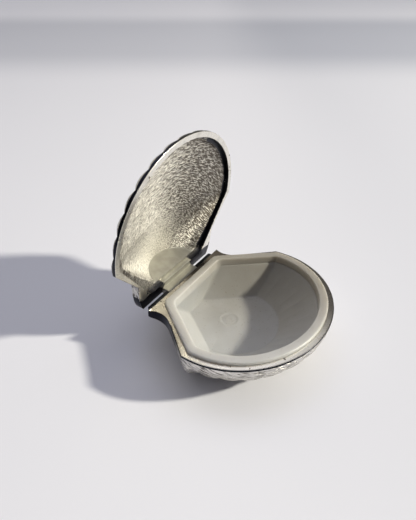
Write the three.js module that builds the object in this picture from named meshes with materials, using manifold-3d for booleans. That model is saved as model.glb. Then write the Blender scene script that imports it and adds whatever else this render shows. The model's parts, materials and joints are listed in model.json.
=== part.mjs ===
// Shell box: a hinged scallop trinket box in polished cast metal, standing open.
// Millimetres, +Z up. X runs along the hinge, the front of the box faces -Y, and
// the origin is the middle of the flat underside that the box stands on.
import * as THREE from 'three';
import Module from 'manifold-3d';
import { ParametricGeometry } from 'three/addons/geometries/ParametricGeometry.js';
import { mergeVertices } from 'three/addons/utils/BufferGeometryUtils.js';

const wasm = await Module();
wasm.setup();

// Plan of the base rim; the lid shares its front arc and shoulders
const HALF_WIDTH = 35;                // widest half breadth, across the front arc
const LENGTH = 56.3;                  // hinge edge to the tip of the front arc
const ARC_CENTRE_Y = -24.9;           // centre of the elliptical front arc
const SHOULDER = [34.8, -21.6];       // corner between flank and front arc
const EAR_TIP = [23.3, 0];            // pointed ear beside the hinge
const EAR_WAIST = [20.2, -5.0];       // what the hollow side of the ear bends towards
const FLANK_START = [24.9, -10.4];
const LID_BACK_Y = 2.1;               // the lid's rim runs on behind the hinge edge
const LID_BACK_HALF = 21.0;
const LID_EAR_CORNER = [23.4, -0.4];
const LID_FLANK_START = [23.7, -9.6];
const RIM_WIDTH = 2.0;                // flat polished rim
const MOUTH_BACK_Y = -2.2;            // inner edge of the rim along the hinge
const MOUTH_CORNER_X = 16.95;         // where that edge meets the flank
const MOUTH_CORNER_RADIUS = 1.6;
const MOUTH_SHOULDER_Y = -22.9;
const MOUTH_CORNER_LEAN = 0.49;       // how far the corner moves in for each unit of inset
const MOUTH_SHOULDER_LEAN = 0.33;
const MOUTH_CORNER_RUN = 0.77;

// Ribs fan out from a point just inside the hinge edge
const FAN_Y = -3;
const RIBS = 15;
const RIB_HEIGHT = 0.95;              // at the rim, shrinking towards the fan point
const STEPS_PER_RIB = 4;

// Base, liner and lid
const BASE_DEPTH = 16.4;
const LID_HEIGHT = 11.8;
const LID_GAP = 0.25;                 // between the two rims when shut
const LID_WALL = 1.7;
const BASE_WALL = 1.6;
const STAND_CENTRE_Y = -20;           // middle of the flat underside
const BASE_LEDGE = 2.9;               // least depth inside the base, under the liner lip
const BOWL_INSET = 0.9;               // how far the bowl's curve lies inside the outer one
const DOME_INSET = 1.6;
const LINER_GAP = 0.35;
const LIP_RISE = 1.2;                 // liner lip above the metal rim
const LIP_WIDTH = 2.6;
const LINER_LEDGE = 0.7;              // narrow step inside the lip
const LINER_LEDGE_Z = -1.8;
const LINER_FLOOR_Z = -12.2;
const LINER_WALL = 1.0;
const LEDGE_SLOPE = 0.1;
const LEDGE_START = 0.15;             // draft of the short wall between lip and ledge
const LINER_FLOOR = { backY: -4.8, backHalf: 3.9, corner: 4.6, flankStart: [5.3, -5.6] };
const LINER_FLOOR_SHOULDER = [17.5, -21.6];
const LINER_FLOOR_FRONT = -38.2;
const LINER_FLOOR_HALF_WIDTH = 17.8;
const LINER_FLOOR_ARC_Y = -20.5;
const FLOOR_CORNER_LEAN = 0.8;
const UNDER_FLOOR_OUTSET = 0.7;
const UNDER_LEDGE_DROP = 0.6;
const RECESS_DEPTH = 1.45;            // step inside the lid's rim that clears the lip
const RECESS_WIDTH = 1.5;
const DOME_SHOULDER = 2.9;            // inset of the first ring on the lid's inner dome

// Hinge
const HINGE_Y = 1.5;
const HINGE_Z = -2.2;
const OPEN_ANGLE = THREE.MathUtils.degToRad(83.5);
const KNUCKLE_RADIUS = 1.2;
const HOLE_RADIUS = 0.78;
const PIN_RADIUS = 0.55;
const LID_KNUCKLE_HALF = 9.3;
const BASE_KNUCKLE_INNER = 9.7;
const BASE_KNUCKLE_OUTER = 20.0;
const ARM_OVERLAP = 0.6;              // how far the base knuckles' webs reach into the shell
const BASE_ARM_RISE = 0.8;
const LID_ARM_RISE = 2;
const ROUND_SIDES = 24;

// How sharply the swellings from the front, the flanks and the hinge meet
const BLEND = 3;
const BACK_POWER = 2.2;

// How many steps each stretch of a half outline is given
const BACK_STEPS = 5;
const EAR_STEPS = 4;
const FLANK_STEPS = 3;
const ARC_STEPS = RIBS * STEPS_PER_RIB / 2;

const METAL = { color: 0xd9d6cf, roughness: 0.22, metalness: 1 };
const PLASTIC = { color: 0xe4e3dd, roughness: 0.45, metalness: 0 };

const vec2 = ([x, y]) => new THREE.Vector2(x, y);
const lerp = THREE.MathUtils.lerp;
const clamp = THREE.MathUtils.clamp;

// A closed outline: hinge edge, ear or corner, flank, shoulder and elliptical arc.
// The right half is drawn from the hinge centre to the front tip and mirrored.
// Points on the arc lie on evenly spaced rays from the fan point, so that every
// outline has its points on the same rays.
function outline({ backY, backHalf, corner, flankStart, shoulder, halfWidth, front, arcY }) {
  const half = [];
  for (let i = 0; i < BACK_STEPS; i++) {
    half.push(new THREE.Vector2(backHalf * i / BACK_STEPS, backY));
  }
  const side = new THREE.QuadraticBezierCurve(
    new THREE.Vector2(backHalf, backY), vec2(corner), vec2(flankStart));
  half.push(...side.getPoints(EAR_STEPS));
  for (let i = 1; i < FLANK_STEPS; i++) {
    half.push(vec2(flankStart).lerp(vec2(shoulder), i / FLANK_STEPS));
  }
  const halfDepth = -front + arcY;
  const start = Math.atan2(shoulder[0], FAN_Y - shoulder[1]);
  for (let i = 0; i <= ARC_STEPS; i++) {
    const angle = start * (1 - i / ARC_STEPS);
    half.push(rayToEllipse(angle, halfWidth, halfDepth, arcY));
  }
  const mirrored = half.slice(1, -1).reverse().map((p) => new THREE.Vector2(-p.x, p.y));
  return [...half, ...mirrored];
}

// Where a ray from the fan point meets the front ellipse
function rayToEllipse(angle, halfWidth, halfDepth, arcY) {
  const dx = Math.sin(angle) / halfWidth;
  const dy = -Math.cos(angle) / halfDepth;
  const oy = (FAN_Y - arcY) / halfDepth;
  const a = dx * dx + dy * dy;
  const b = oy * dy;
  const c = oy * oy - 1;
  const reach = (-b + Math.sqrt(b * b - a * c)) / a;
  return new THREE.Vector2(reach * Math.sin(angle), FAN_Y - reach * Math.cos(angle));
}

const RIM = outline({
  backY: 0, backHalf: EAR_TIP[0], corner: EAR_WAIST, flankStart: FLANK_START,
  shoulder: SHOULDER, halfWidth: HALF_WIDTH, front: -LENGTH, arcY: ARC_CENTRE_Y,
});
const LID_RIM = outline({
  backY: LID_BACK_Y, backHalf: LID_BACK_HALF, corner: LID_EAR_CORNER, flankStart: LID_FLANK_START,
  shoulder: SHOULDER, halfWidth: HALF_WIDTH, front: -LENGTH, arcY: ARC_CENTRE_Y,
});
const COLUMNS = RIM.length;

// The fan-shaped outline inside the rim, drawn in further by the given inset
function innerOutline(inset) {
  const backY = MOUTH_BACK_Y - inset;
  const cornerX = MOUTH_CORNER_X - MOUTH_CORNER_LEAN * inset;
  return outline({
    backY,
    backHalf: cornerX - MOUTH_CORNER_RADIUS,
    corner: [cornerX, backY],
    flankStart: [
      cornerX + MOUTH_CORNER_RUN * MOUTH_CORNER_RADIUS, backY - MOUTH_CORNER_RADIUS],
    shoulder: [
      HALF_WIDTH - RIM_WIDTH - inset, MOUTH_SHOULDER_Y - MOUTH_SHOULDER_LEAN * inset],
    halfWidth: HALF_WIDTH - RIM_WIDTH - inset,
    front: -LENGTH + RIM_WIDTH + inset,
    arcY: ARC_CENTRE_Y,
  });
}

// Rising from 0 at the edge to 1 at `run` inside it, rounder for a higher power
function shoulderCurve(distance, run, power) {
  const rest = 1 - clamp(distance / run, 0, 1);
  return (1 - rest ** power) ** (1 / power);
}

// Height of a valve's smooth outer face over its rim plane. The valve swells from a
// low ear and flank border into a disc whose flanks run from beside the hinge
// to the shoulders.
function swell(form, x, y, edge, inset = 0, floor = 0) {
  const discHalf = form.discHalf - form.discSpread * y - inset;
  const across = clamp(Math.abs(x) / discHalf, 0, 1);
  const halfDepth = LENGTH + ARC_CENTRE_Y;
  const ringY = Math.min(y - ARC_CENTRE_Y, 0) / halfDepth;
  const ring = 1 - Math.hypot(x / HALF_WIDTH, ringY);
  const fromFront = y < ARC_CENTRE_Y ? ring * halfDepth : y - ARC_CENTRE_Y + ring * halfDepth;
  const rises = [
    (1 - across ** form.acrossPower) ** (1 / form.acrossRound),
    shoulderCurve(-y - inset, form.backRun, BACK_POWER),
    shoulderCurve(fromFront - inset, form.frontRun, form.frontPower),
  ];
  const loss = rises.reduce((sum, rise) => sum + (1 - rise) ** BLEND, 0) ** (1 / BLEND);
  return edge - floor + (form.height - edge) * Math.max(0, 1 - loss);
}

const BASE_FORM = {
  rim: RIM, height: BASE_DEPTH + 0.9, discHalf: 13, discSpread: 1.0, acrossPower: 3.8,
  acrossRound: 2, backRun: 3, frontRun: 20, frontPower: 1.6, flankEdge: 4.6, earEdge: 2.4, arcEdge: 0.45,
};
const LID_FORM = {
  rim: LID_RIM, height: LID_HEIGHT, discHalf: 9.5, discSpread: 1.12, acrossPower: 2.2,
  acrossRound: 1.35, backRun: 6, frontRun: 42, frontPower: 1.2, flankEdge: 3.2, earEdge: 2.4, arcEdge: 0.4,
};

// Height of the upright band under the rim's outer edge, by column: deep along the
// hinge and flanks, thinner at the ear tips, thin along the ribbed arc
function edgeBand(form) {
  const earEnd = BACK_STEPS + EAR_STEPS;
  const arcStart = earEnd + FLANK_STEPS;
  return RIM.map((_, column) => {
    const c = Math.min(column, COLUMNS - column);
    if (c <= BACK_STEPS) return lerp(form.flankEdge, form.earEdge, (c / BACK_STEPS) ** 3);
    if (c <= earEnd) return lerp(form.earEdge, form.flankEdge, (c - BACK_STEPS) / EAR_STEPS);
    if (c <= arcStart) return form.flankEdge;
    return lerp(form.arcEdge, form.flankEdge, Math.max(0, 1 - (c - arcStart) / STEPS_PER_RIB) ** 2);
  });
}

// Rounded ribs with narrow valleys, one for every STEPS_PER_RIB columns of the arc
function ribProfile(column) {
  const arcStart = BACK_STEPS + EAR_STEPS + FLANK_STEPS;
  const c = Math.min(column, COLUMNS - column) - arcStart;
  return c < 0 ? 0 : Math.abs(Math.sin(Math.PI * c / STEPS_PER_RIB)) ** 0.7;
}

// One closed surface through rings of points; a ring of one point is a pole
function skin(rings) {
  const wrap = (u, v, target) => {
    const ring = rings[Math.round(v * (rings.length - 1))];
    target.copy(ring[Math.round(u * COLUMNS) % ring.length]);
  };
  return closedGeometry(new ParametricGeometry(wrap, COLUMNS, rings.length - 1));
}

// Merges shared vertices and drops the slivers at the poles
function closedGeometry(geometry) {
  geometry.deleteAttribute('normal');
  geometry.deleteAttribute('uv');
  const merged = mergeVertices(geometry, 1e-4);
  const kept = [];
  for (let i = 0; i < merged.index.count; i += 3) {
    const [a, b, c] = [0, 1, 2].map((k) => merged.index.getX(i + k));
    if (a !== b && b !== c && c !== a) kept.push(a, b, c);
  }
  merged.setIndex(kept);
  return merged;
}

const solid = (geometry) => new wasm.Manifold(new wasm.Mesh({
  numProp: 3,
  vertProperties: new Float32Array(geometry.attributes.position.array),
  triVerts: new Uint32Array(geometry.index.array),
}));

function geometryOf(manifold) {
  const { vertProperties, triVerts } = manifold.getMesh();
  const geometry = new THREE.BufferGeometry();
  geometry.setAttribute('position', new THREE.BufferAttribute(vertProperties, 3));
  geometry.setIndex(new THREE.BufferAttribute(triVerts, 1));
  geometry.computeVertexNormals();
  return geometry;
}

const ring = (points, height) => points.map(
  (p, column) => new THREE.Vector3(p.x, p.y, height(p, column)));

// A ring part of the way from a centre to an outline
const shrunk = (points, centre, part) => points.map(
  (p) => new THREE.Vector2().lerpVectors(centre, p, part));

const FAN_POINT = new THREE.Vector2(0, FAN_Y);
const BOWL_CENTRE = new THREE.Vector2(0, -18);
const OUTSIDE_PARTS = [0.1, 0.22, 0.36, 0.5, 0.64, 0.78, 0.9, 1];
const BOWL_PARTS = [1, 0.94, 0.86, 0.75, 0.6, 0.4];
const DOME_PARTS = [0.8, 0.6, 0.35];

// The ribbed outside of a valve, from the fan point out to the rim
function outsideRings(form, limit) {
  const bands = edgeBand(form);
  const rings = OUTSIDE_PARTS.map((part) => ring(shrunk(form.rim, FAN_POINT, part), (p, column) => {
    const rib = RIB_HEIGHT * part * ribProfile(column);
    return Math.min(swell(form, p.x, p.y, bands[column]) + rib, limit);
  }));
  const pole = new THREE.Vector3(0, FAN_Y, Math.min(swell(form, 0, FAN_Y, form.arcEdge), limit));
  return [[pole], ...rings];
}

// Base valve, built mouth down so that heights over the rim plane are positive
function baseShellGeometry() {
  const mouth = innerOutline(0);
  const bands = edgeBand(BASE_FORM);
  const inside = (p, column) => clamp(
    swell(BASE_FORM, p.x, p.y, bands[column], BOWL_INSET, BASE_WALL),
    BASE_LEDGE, BASE_DEPTH - BASE_WALL);
  const rings = [
    ...outsideRings(BASE_FORM, BASE_DEPTH),
    ring(RIM, () => 0),
    ring(mouth, () => 0),
    ...BOWL_PARTS.map((part) => ring(shrunk(mouth, BOWL_CENTRE, part), inside)),
    [new THREE.Vector3(0, BOWL_CENTRE.y, BASE_DEPTH - BASE_WALL)],
  ];
  return flipped(skin(rings));
}

// Mirrors a closed surface in the rim plane and keeps its faces pointing out
function flipped(geometry) {
  geometry.scale(1, 1, -1);
  const index = geometry.index.array;
  for (let i = 0; i < index.length; i += 3) {
    [index[i + 1], index[i + 2]] = [index[i + 2], index[i + 1]];
  }
  return geometry;
}

// Lid valve: recess inside the rim, flat steep wall by the hinge, smooth dome
function lidShellGeometry() {
  const mouth = innerOutline(0);
  const domeFoot = innerOutline(RECESS_WIDTH);
  const domeShoulder = innerOutline(DOME_SHOULDER);
  const inside = (p) => {
    const raised = swell(LID_FORM, p.x, p.y, RECESS_DEPTH, DOME_INSET);
    return Math.max(raised * (LID_HEIGHT - LID_WALL) / LID_HEIGHT, RECESS_DEPTH);
  };
  const rings = [
    ...outsideRings(LID_FORM, LID_HEIGHT),
    ring(LID_RIM, () => 0),
    ring(mouth, () => 0),
    ring(mouth, () => RECESS_DEPTH),
    ring(domeFoot, () => RECESS_DEPTH),
    ring(domeShoulder, inside),
    ...DOME_PARTS.map((part) => ring(shrunk(domeShoulder, BOWL_CENTRE, part), inside)),
    [new THREE.Vector3(0, BOWL_CENTRE.y, inside(BOWL_CENTRE))],
  ];
  return skin(rings);
}

// A cylinder along X
function barGeometry(radius, x0, x1, y, z) {
  const bar = new THREE.CylinderGeometry(radius, radius, x1 - x0, ROUND_SIDES);
  bar.rotateZ(Math.PI / 2);
  bar.translate((x0 + x1) / 2, y, z);
  return closedGeometry(bar);
}

function blockGeometry(x0, x1, y0, y1, z0, z1) {
  const block = new THREE.BoxGeometry(x1 - x0, y1 - y0, z1 - z0);
  block.translate((x0 + x1) / 2, (y0 + y1) / 2, (z0 + z1) / 2);
  return closedGeometry(block);
}

// Base valve with its two knuckles
function baseGeometry() {
  let body = solid(baseShellGeometry());
  for (const side of [-1, 1]) {
    const ends = [side * BASE_KNUCKLE_INNER, side * BASE_KNUCKLE_OUTER].sort((a, b) => a - b);
    body = body
      .add(solid(barGeometry(KNUCKLE_RADIUS, ...ends, HINGE_Y, HINGE_Z)))
      .add(solid(blockGeometry(
        ...ends, -ARM_OVERLAP, HINGE_Y, HINGE_Z - KNUCKLE_RADIUS, HINGE_Z + BASE_ARM_RISE)));
  }
  return geometryOf(body.subtract(solid(pinHole())));
}

const pinHole = () => barGeometry(
  HOLE_RADIUS, -BASE_KNUCKLE_OUTER - 1, BASE_KNUCKLE_OUTER + 1, HINGE_Y, HINGE_Z);

// Lid valve, shut, with the long middle knuckle on its arm
function lidGeometry() {
  const shell = lidShellGeometry();
  shell.translate(0, 0, LID_GAP);
  const armFront = HINGE_Y - KNUCKLE_RADIUS;
  const armBack = HINGE_Y + KNUCKLE_RADIUS;
  const body = solid(shell)
    .add(solid(barGeometry(KNUCKLE_RADIUS, -LID_KNUCKLE_HALF, LID_KNUCKLE_HALF, HINGE_Y, HINGE_Z)))
    .add(solid(blockGeometry(
      -LID_KNUCKLE_HALF, LID_KNUCKLE_HALF, armFront, armBack, HINGE_Z, LID_GAP + LID_ARM_RISE)));
  return geometryOf(body.subtract(solid(pinHole())));
}

// Moulded liner: a tray with a broad lip, a narrow ledge and walls that taper to a
// small flat floor
function linerGeometry() {
  const lipOuter = innerOutline(LINER_GAP);
  const lipInner = innerOutline(LINER_GAP + LIP_WIDTH);
  const ledgeOuter = innerOutline(LINER_GAP + LIP_WIDTH + LEDGE_START);
  const ledgeInner = innerOutline(LINER_GAP + LIP_WIDTH + LEDGE_START + LINER_LEDGE);
  const floor = linerFloorOutline(0);
  const floorUnder = linerFloorOutline(UNDER_FLOOR_OUTSET);
  const under = innerOutline(LINER_GAP + LIP_WIDTH + LINER_LEDGE - LINER_WALL);
  const rings = [
    [new THREE.Vector3(0, BOWL_CENTRE.y, LINER_FLOOR_Z)],
    ring(floor, () => LINER_FLOOR_Z),
    ring(ledgeInner, () => LINER_LEDGE_Z - LEDGE_SLOPE),
    ring(ledgeOuter, () => LINER_LEDGE_Z + LEDGE_SLOPE),
    ring(lipInner, () => LIP_RISE),
    ring(lipOuter, () => LIP_RISE),
    ring(lipOuter, () => LINER_LEDGE_Z),
    ring(under, () => LINER_LEDGE_Z - UNDER_LEDGE_DROP),
    ring(floorUnder, () => LINER_FLOOR_Z - LINER_WALL),
    [new THREE.Vector3(0, BOWL_CENTRE.y, LINER_FLOOR_Z - LINER_WALL)],
  ];
  return skin(rings);
}

// The small flat floor's outline, grown by an outset
function linerFloorOutline(outset) {
  const { backY, backHalf, corner, flankStart } = LINER_FLOOR;
  const [shoulderX, shoulderY] = LINER_FLOOR_SHOULDER;
  return outline({
    backY: backY + outset,
    backHalf: backHalf + FLOOR_CORNER_LEAN * outset,
    corner: [corner + outset, backY + outset],
    flankStart: [flankStart[0] + outset, flankStart[1]],
    shoulder: [shoulderX + outset, shoulderY],
    halfWidth: LINER_FLOOR_HALF_WIDTH + outset,
    front: LINER_FLOOR_FRONT - outset,
    arcY: LINER_FLOOR_ARC_Y,
  });
}

function piece(name, geometry, look) {
  const mesh = new THREE.Mesh(geometry, new THREE.MeshStandardMaterial(look));
  mesh.name = name;
  return mesh;
}

// Everything is placed with the hinge edge of the base rim at y = 0 and z = 0, then the
// whole box is moved so that the middle of its flat underside is the origin
const box = new THREE.Group();
const fixed = new THREE.Group();
fixed.add(piece('base_shell', baseGeometry(), METAL));
fixed.add(piece('liner', linerGeometry(), PLASTIC));
fixed.add(piece('hinge_pin',
  barGeometry(PIN_RADIUS, -BASE_KNUCKLE_OUTER, BASE_KNUCKLE_OUTER, HINGE_Y, HINGE_Z), METAL));

const swing = new THREE.Group();
swing.position.set(0, HINGE_Y, HINGE_Z);
swing.rotation.x = -OPEN_ANGLE;
const lid = piece('lid_shell', lidGeometry(), METAL);
lid.position.set(0, -HINGE_Y, -HINGE_Z);
swing.add(lid);

box.add(fixed, swing);
box.position.set(0, -STAND_CENTRE_Y, BASE_DEPTH);

export default box;
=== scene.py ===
"""Shell box: a hinged scallop trinket box of polished cast metal with a moulded liner."""

import json
import math

import bmesh
import bpy
import numpy as np
from mathutils import Matrix, Vector


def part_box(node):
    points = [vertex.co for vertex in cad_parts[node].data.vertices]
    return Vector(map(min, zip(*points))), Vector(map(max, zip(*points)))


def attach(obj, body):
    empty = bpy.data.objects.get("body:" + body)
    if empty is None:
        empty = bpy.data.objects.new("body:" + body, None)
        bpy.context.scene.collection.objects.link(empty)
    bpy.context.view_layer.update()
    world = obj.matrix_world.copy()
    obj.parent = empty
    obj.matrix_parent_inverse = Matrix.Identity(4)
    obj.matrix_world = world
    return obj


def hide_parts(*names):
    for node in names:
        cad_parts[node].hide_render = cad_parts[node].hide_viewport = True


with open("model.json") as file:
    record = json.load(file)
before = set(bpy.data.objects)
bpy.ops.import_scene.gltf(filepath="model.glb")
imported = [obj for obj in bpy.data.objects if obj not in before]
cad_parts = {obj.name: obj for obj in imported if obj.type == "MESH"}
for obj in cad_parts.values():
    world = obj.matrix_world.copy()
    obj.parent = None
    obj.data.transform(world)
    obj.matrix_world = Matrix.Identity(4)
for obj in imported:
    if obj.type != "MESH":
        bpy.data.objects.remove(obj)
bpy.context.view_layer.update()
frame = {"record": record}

bl_info = {
    "name": "Shell box",
    "version": (1, 0, 0),
    "blender": (4, 5, 0),
    "location": "3D view > Sidebar > Shell box",
    "description": "Builds a hinged scallop trinket box with its liner, hinge and studio",
    "category": "Add Mesh",
}

# Valve coordinates are in millimetres: x along the hinge, y = 0 at the hinge edge with
# the front at -y, and h the height over the rim plane, towards the outside of the valve.
MM = 0.001
HINGE = frame["record"]["behaviour"]["joints"][0]
OPEN_ANGLE = math.radians(HINGE["range_deg"][1])
HINGE_AXIS = Vector(HINGE["pos_m"])
BASE_LOW, BASE_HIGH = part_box("base_shell")
PIN_LOW, PIN_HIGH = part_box("hinge_pin")
PIN_RADIUS = (PIN_HIGH.z - PIN_LOW.z) / 2
HINGE_BEHIND = 1.5
HINGE_UNDER = 2.2
EDGE_Y = HINGE_AXIS.y - HINGE_BEHIND * MM
RIM_Z = HINGE_AXIS.z + HINGE_UNDER * MM
LID_GAP = 0.25

HALF_WIDTH = BASE_HIGH.x / MM
LENGTH = (EDGE_Y - BASE_LOW.y) / MM
BASE_DEPTH = (RIM_Z - BASE_LOW.z) / MM
ARC_Y = -24.9
FAN_Y = -3.0
BOWL_Y = -18.0
RIBS = 15
LID_HEIGHT = 11.8
LID_WALL = 1.7
BASE_WALL = 1.6
RECESS_DEPTH = 1.45
LID_KNUCKLE_HALF = 9.3
BASE_KNUCKLE_START = 9.7
BASE_KNUCKLE_END = 20.0

# Columns round an outline, for each stretch of its right half
BACK_STEPS = 12
EAR_STEPS = 12
FLANK_STEPS = 10
STEPS_PER_RIB = 12
ARC_STEPS = RIBS * STEPS_PER_RIB // 2
COLUMNS = 2 * (BACK_STEPS + EAR_STEPS + FLANK_STEPS + ARC_STEPS)
FROM_HINGE = np.minimum(np.arange(COLUMNS), COLUMNS - np.arange(COLUMNS))
FLAT = np.zeros(COLUMNS)

# Each valve's outside: half its width at the hinge edge and the spread of its sides, how
# sharply it is crowned across, how far and how roundly it rises from the back and the front,
# the height of the upright band under its rim at four places, the height of its ribs, how far
# in from the rim they start, and over how many ribs the band narrows along the arc.
BASE_FORM = {
    "height": BASE_DEPTH + 0.9, "half": 13.0, "spread": 1.0, "across": (3.8, 2.0),
    "back": (3.0, 2.2), "front": (20.0, 1.6),
    "flank_edge": 4.6, "shoulder_edge": 2.9, "ear_edge": 2.4, "arc_edge": 0.7,
    "ribs": 0.75, "rib_start": 1.1, "fade_ribs": 3,
}
LID_FORM = {
    "height": LID_HEIGHT, "half": 9.5, "spread": 1.12, "across": (2.2, 1.35),
    "back": (6.0, 2.2), "front": (42.0, 1.2),
    "flank_edge": 3.2, "shoulder_edge": 1.3, "ear_edge": 2.4, "arc_edge": 0.9,
    "ribs": 0.95, "rib_start": 0.5, "fade_ribs": 1,
}
BLEND = 3
# About how far the rim lies from the fan point, and where the growth ridges fade out
FAN_REACH = 50.0
RIDGE_EDGE = 1.6
RIDGE_MIDDLE = 9.0


# ---------------------------------------------------------------- outlines and heights


def outline(back_y, back_half, corner, flank_start, shoulder, half_width, front, arc_y=ARC_Y):
    """Hinge edge, ear or corner, flank and elliptical arc, as one ring of plan points."""
    back = [(back_half * i / BACK_STEPS, back_y) for i in range(BACK_STEPS)]
    ear = []
    for i in range(EAR_STEPS + 1):
        t = i / EAR_STEPS
        ear.append([
            (1 - t) ** 2 * a + 2 * t * (1 - t) * b + t * t * c
            for a, b, c in zip((back_half, back_y), corner, flank_start)
        ])
    flank = [
        [a + (b - a) * i / FLANK_STEPS for a, b in zip(flank_start, shoulder)]
        for i in range(1, FLANK_STEPS)
    ]
    start = math.atan2(shoulder[0], FAN_Y - shoulder[1])
    arc = [
        ray_to_arc(start * (1 - i / ARC_STEPS), half_width, arc_y - front, arc_y)
        for i in range(ARC_STEPS + 1)
    ]
    half = np.array([*back, *ear, *flank, *arc])
    return np.concatenate([half, half[-2:0:-1] * (-1, 1)])


def ray_to_arc(angle, half_width, half_depth, arc_y):
    """Where a ray from the fan point meets the ellipse of the front arc."""
    dx, dy = math.sin(angle) / half_width, -math.cos(angle) / half_depth
    oy = (FAN_Y - arc_y) / half_depth
    a, b, c = dx * dx + dy * dy, oy * dy, oy * oy - 1
    reach = (-b + math.sqrt(b * b - a * c)) / a
    return reach * math.sin(angle), FAN_Y - reach * math.cos(angle)


SHOULDER = (34.8, -21.6)
RIM = outline(0, 23.3, (20.2, -5.0), (24.9, -10.4), SHOULDER, HALF_WIDTH, -LENGTH)
LID_RIM = outline(2.1, 21.0, (23.4, -0.4), (23.7, -9.6), SHOULDER, HALF_WIDTH, -LENGTH)


def inner_outline(inset, rim_width=2.0):
    """The fan-shaped outline inside the rim, drawn in further by inset."""
    back_y, corner_x, radius = -2.2 - inset, 16.95 - 0.49 * inset, 1.6
    half_width = HALF_WIDTH - rim_width - inset
    return outline(
        back_y, corner_x - radius, (corner_x, back_y), (corner_x + 0.77 * radius, back_y - radius),
        (half_width, -22.9 - 0.33 * inset), half_width, -LENGTH + rim_width + inset,
    )


def floor_outline(outset):
    """The liner's small flat floor."""
    back_y = -4.8 + outset
    return outline(
        back_y, 3.9 + 0.8 * outset, (4.6 + outset, back_y), (5.3 + outset, -5.6),
        (17.5 + outset, -21.6), 17.8 + outset, -38.2 - outset, -20.5,
    )


def shrunk(points, part, centre_y):
    """An outline drawn towards a point on the middle line."""
    centre = np.array((0, centre_y))
    return centre + (points - centre) * part


def round_rise(distance, run, power):
    """Rises from 0 at an edge to 1 at run inside it, rounder for a higher power."""
    rest = 1 - np.clip(distance / run, 0, 1)
    return (1 - rest ** power) ** (1 / power)


def swell(form, plan, edge, inset=0.0, floor=0.0, back=None):
    """Height of a valve's smooth face over its rim plane."""
    x, y = plan[:, 0], plan[:, 1]
    across = np.clip(np.abs(x) / (form["half"] - form["spread"] * y - inset), 0, 1)
    half_depth = LENGTH + ARC_Y
    ring = 1 - np.hypot(x / HALF_WIDTH, np.minimum(y - ARC_Y, 0) / half_depth)
    from_front = ring * half_depth + np.maximum(y - ARC_Y, 0)
    power, roundness = form["across"]
    rises = (
        (1 - across ** power) ** (1 / roundness),
        round_rise(-y - inset, *(back or form["back"])),
        round_rise(from_front - inset, *form["front"]),
    )
    loss = sum((1 - rise) ** BLEND for rise in rises) ** (1 / BLEND)
    return edge - floor + (form["height"] - edge) * np.maximum(0, 1 - loss)


def edge_band(form):
    """Height of the upright band under the rim's edge, by column."""
    c = FROM_HINGE.astype(float)
    ear_end = BACK_STEPS + EAR_STEPS
    arc_start = ear_end + FLANK_STEPS
    ear, flank, shoulder, arc = (form[name + "_edge"] for name in
                                 ("ear", "flank", "shoulder", "arc"))
    along_arc = np.clip(1 - (c - arc_start) / (form["fade_ribs"] * STEPS_PER_RIB), 0, 1) ** 2
    band = arc + (shoulder - arc) * along_arc
    along_flank = (c - ear_end) / FLANK_STEPS
    band = np.where(c <= arc_start, flank + (shoulder - flank) * along_flank, band)
    along_ear = np.clip((c - BACK_STEPS) / EAR_STEPS, 0, 1) ** 0.5
    band = np.where(c <= ear_end, ear + (flank - ear) * along_ear, band)
    return np.where(c <= BACK_STEPS, flank + (ear - flank) * (c / BACK_STEPS) ** 3, band)


def rib_profile():
    """Rounded ribs with narrow valleys, by column."""
    c = FROM_HINGE - (BACK_STEPS + EAR_STEPS + FLANK_STEPS)
    return np.where(c < 0, 0, np.abs(np.sin(np.pi * c / STEPS_PER_RIB)) ** 0.7)


def outside_height(form, plan, part, depth, limit):
    """Ribbed and ridged outside of a valve at one ring."""
    distance = (1 - part) * FAN_REACH
    start = form["rib_start"]
    ribs = form["ribs"] * part * rib_profile() * min(1, distance / start) ** 0.5
    radius = np.hypot(plan[:, 0], plan[:, 1] - FAN_Y)
    angle = np.arctan2(plan[:, 0], FAN_Y - plan[:, 1])
    wander = 0.35 * np.sin(angle * 11 + radius * 0.31) + 0.25 * np.sin(angle * 23 - 1.3)
    ridges = np.sin((radius + wander) * 2.3) + 0.6 * np.sin((radius - wander) * 3.9 + 2)
    fade = np.clip(distance / RIDGE_EDGE, 0, 1) * np.clip(radius / RIDGE_MIDDLE, 0, 1)
    height = swell(form, plan, edge_band(form)) + ribs + depth * ridges * fade
    return np.minimum(height, limit)


# ------------------------------------------------------------------ placing and shaping


def to_row(plan, height, lid=False):
    """Row-frame points, in metres, of valve points; the lid is turned to where it rests."""
    points = np.empty((len(plan), 3))
    points[:, 0] = plan[:, 0] * MM
    points[:, 1] = plan[:, 1] * MM + EDGE_Y
    if not lid:
        points[:, 2] = RIM_Z - height * MM
        return points
    points[:, 2] = RIM_Z + (LID_GAP + height) * MM
    return points @ open_turn(1)[0].T + open_turn(1)[1]


def open_turn(way):
    """Rotation and shift that open the lid about its hinge, or shut it for way -1."""
    turn = np.array(Matrix.Rotation(-OPEN_ANGLE * way, 3, "X"))
    centre = np.array(HINGE_AXIS)
    return turn, centre - turn @ centre


def to_valve(points, lid=False):
    """The reverse of to_row: x, y and height over the rim plane, in millimetres."""
    if lid:
        turn, shift = open_turn(-1)
        points = points @ turn.T + shift
    height = (RIM_Z - points[:, 2]) / MM
    if lid:
        height = -height - LID_GAP
    return np.column_stack([points[:, 0] / MM, (points[:, 1] - EDGE_Y) / MM, height])


def nothing_selected():
    if bpy.context.object and bpy.context.object.mode != "OBJECT":
        bpy.ops.object.mode_set(mode="OBJECT")
    bpy.ops.object.select_all(action="DESELECT")


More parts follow.
